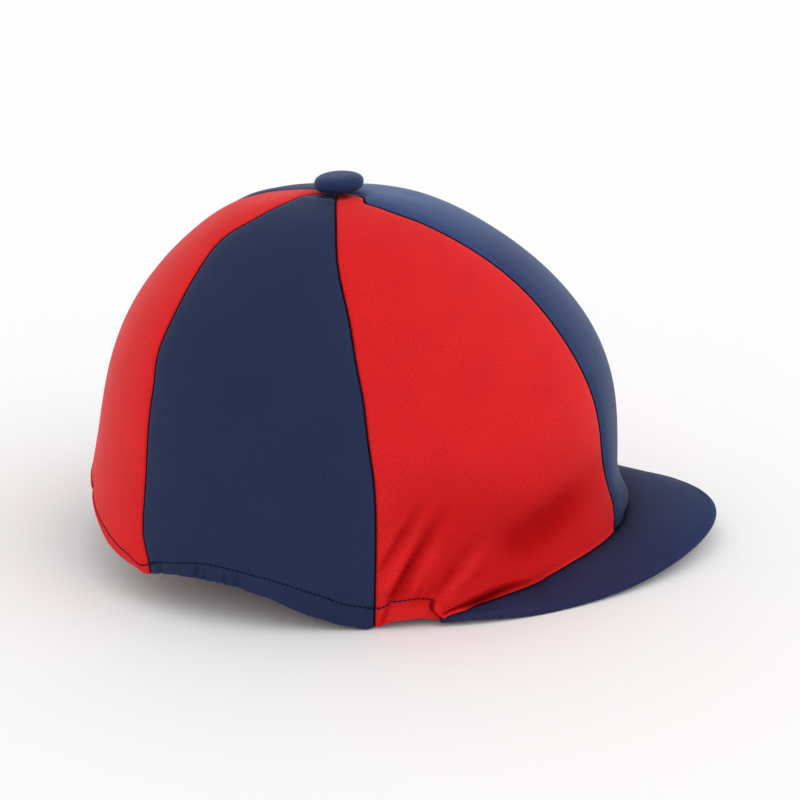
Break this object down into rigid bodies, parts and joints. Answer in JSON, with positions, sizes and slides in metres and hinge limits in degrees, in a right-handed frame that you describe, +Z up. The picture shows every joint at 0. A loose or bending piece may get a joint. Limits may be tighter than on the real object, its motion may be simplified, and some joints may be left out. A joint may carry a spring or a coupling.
{
  "type": "jockey cap",
  "caption": "Soft six-gore riding cap cover in two cloth colours with a covered button, a stitched hem and a stiff cloth-covered peak; open below for a head or helmet.",
  "frame": {"origin": "middle of the cap's whole length and width, on the surface it rests on", "axes": "+X towards the peak, +Y to the wearer's left, +Z up; the cap is symmetric about the XZ plane"},
  "size_m": [0.3016, 0.21, 0.1794],
  "materials": {
    "navy_cloth": "fine ribbed stretch knit, satin-matt",
    "red_cloth": "fine ribbed stretch knit, satin-matt",
    "peak_cloth": "stretch knit drawn smooth over a stiff peak",
    "button_cloth": "stretch knit drawn over a round button",
    "thread": "dark sewing thread"
  },
  "bodies": {
    "root": {"panel_front": "navy_cloth", "panel_front_right": "red_cloth", "panel_back_right": "navy_cloth", "panel_back": "red_cloth", "panel_back_left": "navy_cloth", "panel_front_left": "red_cloth", "peak": "peak_cloth", "button": "button_cloth"}
  },
  "joints": []
}
